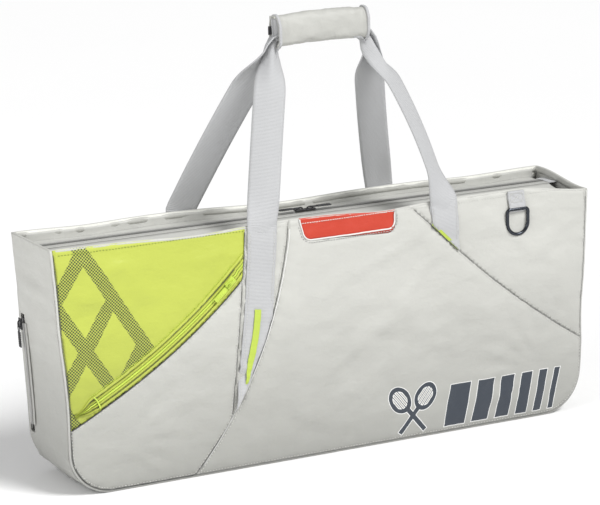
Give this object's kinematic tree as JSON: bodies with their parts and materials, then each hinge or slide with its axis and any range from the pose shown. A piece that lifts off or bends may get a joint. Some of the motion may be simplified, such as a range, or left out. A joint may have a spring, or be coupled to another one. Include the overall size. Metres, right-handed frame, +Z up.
{
  "type": "racket tournament bag",
  "caption": "Long shallow zip-top racket tote with padded panels, two webbing handles joined by a wrap, a diagonal front pocket and a ring for keys.",
  "frame": {"origin": "middle of the flat base, on the surface that the bag stands on", "axes": "+X along the bag's length, to the right seen from the front; -Y out of the front with the pocket; +Z up through the handle"},
  "size_m": [0.7532, 0.1352, 0.55],
  "materials": {
    "shell_grey": "woven polyester with a slight sheen",
    "pocket_lime": "woven polyester with a printed dot lattice",
    "inset_red": "woven polyester",
    "webbing_grey": "ribbed flat webbing",
    "accent_lime": "woven tape",
    "lining_grey": "smooth lining taffeta",
    "foam": "closed-cell foam sheet",
    "board": "stiff plastic sheet",
    "piping_white": "covered cord",
    "zip_grey": "zip tape",
    "zip_lime": "zip tape",
    "coil_grey": "nylon coil",
    "coil_lime": "nylon coil",
    "slider_black": "black enamel",
    "slider_lime": "lime enamel",
    "pull_black": "moulded pull",
    "pull_lime": "moulded pull",
    "ring_gunmetal": "dark plated wire",
    "patch_black": "hook and loop tape"
  },
  "bodies": {
    "bag": {"lime_pocket_panel": "pocket_lime", "lower_left_panel": "shell_grey", "strap_yoke_panel": "shell_grey", "centre_panel": "shell_grey", "right_panel": "shell_grey", "red_inset": "inset_red", "back_panel": "shell_grey", "left_gusset": "shell_grey", "right_gusset": "shell_grey", "base_panel": "shell_grey", "front_foam": "foam", "back_foam": "foam", "base_board": "board", "front_lining": "lining_grey", "back_lining": "lining_grey", "gusset_lining": "lining_grey", "rim_stiffener": "board", "rim_facing": "lining_grey", "front_piping": "piping_white", "rear_piping": "piping_white", "strap_accent_bars": "accent_lime", "pocket_welt": "pocket_lime", "pocket_zip_tapes": "zip_lime", "pocket_zip_coil": "coil_lime", "side_zip_tapes": "zip_grey", "side_zip_coil": "coil_grey", "dring_tab": "webbing_grey", "main_zip_end_tabs": "webbing_grey", "front_left_strap_anchor": "webbing_grey", "front_right_strap_anchor": "webbing_grey", "rear_left_strap_anchor": "webbing_grey", "rear_right_strap_anchor": "webbing_grey", "front_left_strap_leg": "webbing_grey", "front_right_strap_leg": "webbing_grey", "rear_left_strap_leg": "webbing_grey", "rear_right_strap_leg": "webbing_grey"},
    "handle": {"front_grip_webbing": "webbing_grey", "rear_grip_webbing": "webbing_grey", "wrap_cover": "shell_grey", "wrap_padding": "foam", "wrap_loop_patch": "patch_black"},
    "wrap_flap": {"wrap_flap": "shell_grey", "wrap_hook_patch": "patch_black"},
    "front_zip_edge": {"front_flap_panel": "lining_grey", "front_zip_tape": "zip_grey", "front_zip_coil": "coil_grey"},
    "rear_zip_edge": {"rear_flap_panel": "lining_grey", "rear_zip_tape": "zip_grey", "rear_zip_coil": "coil_grey"},
    "main_left_slider": {"main_left_slider": "slider_black"},
    "main_left_pull": {"main_left_pull": "pull_black"},
    "main_right_slider": {"main_right_slider": "slider_black"},
    "main_right_pull": {"main_right_pull": "pull_black"},
    "pocket_slider": {"pocket_slider": "slider_lime"},
    "pocket_pull": {"pocket_pull": "pull_lime"},
    "side_slider": {"side_slider": "slider_black"},
    "side_pull": {"side_pull": "pull_black"},
    "dring": {"dring": "ring_gunmetal"}
  },
  "joints": [
    {"name": "handle_drop", "type": "slide", "parent": "bag", "child": "handle", "axis": [0, 0, -1], "range_m": [0, 0.15], "deforming": ["front_left_strap_leg", "front_right_strap_leg", "rear_left_strap_leg", "rear_right_strap_leg"]},
    {"name": "wrap_open", "type": "hinge", "parent": "handle", "child": "wrap_flap", "pos_m": [0.0195, 0.0155, 0.545], "axis": [1, 0, 0], "range_deg": [0, 150]},
    {"name": "closure_open", "type": "slide", "parent": "bag", "child": "front_zip_edge", "axis": [0, -1, 0], "range_m": [0, 0.045], "deforming": ["front_flap_panel"]},
    {"name": "closure_rear", "type": "slide", "parent": "bag", "child": "rear_zip_edge", "axis": [0, 1, 0], "range_m": [0, 0.0135], "deforming": ["rear_flap_panel"]},
    {"name": "main_left_travel", "type": "slide", "parent": "front_zip_edge", "child": "main_left_slider", "axis": [-1, 0, 0], "range_m": [0, 0.33]},
    {"name": "main_left_pull_swing", "type": "hinge", "parent": "main_left_slider", "child": "main_left_pull", "pos_m": [-0.0033, 0.022, 0.2982], "axis": [0, 1, 0], "range_deg": [0, 110]},
    {"name": "main_right_travel", "type": "slide", "parent": "front_zip_edge", "child": "main_right_slider", "axis": [1, 0, 0], "range_m": [0, 0.31]},
    {"name": "main_right_pull_swing", "type": "hinge", "parent": "main_right_slider", "child": "main_right_pull", "pos_m": [0.0113, 0.022, 0.2982], "axis": [0, -1, 0], "range_deg": [0, 110]},
    {"name": "pocket_slider_travel", "type": "hinge", "parent": "bag", "child": "pocket_slider", "pos_m": [-0.68933, -0.0625, 0.82691], "axis": [0, 1, 0], "range_deg": [0, 15.5]},
    {"name": "pocket_pull_swing", "type": "hinge", "parent": "pocket_slider", "child": "pocket_pull", "pos_m": [-0.14577, -0.0687, 0.23992], "axis": [-0.6794, 0, 0.7337], "range_deg": [0, 110]},
    {"name": "side_slider_travel", "type": "slide", "parent": "bag", "child": "side_slider", "axis": [0.0459, 0, -0.9989], "range_m": [0, 0.128]},
    {"name": "side_pull_swing", "type": "hinge", "parent": "side_slider", "child": "side_pull", "pos_m": [-0.3761, 0.0485, 0.19372], "axis": [0, 1, 0], "range_deg": [0, 110]},
    {"name": "dring_swing", "type": "hinge", "parent": "bag", "child": "dring", "pos_m": [0.264, -0.0665, 0.281], "axis": [1, 0, 0], "range_deg": [-120, 0]}
  ],
  "couplings": [
    {"joint": "closure_rear", "follows": "closure_open", "ratio": 0.3}
  ]
}
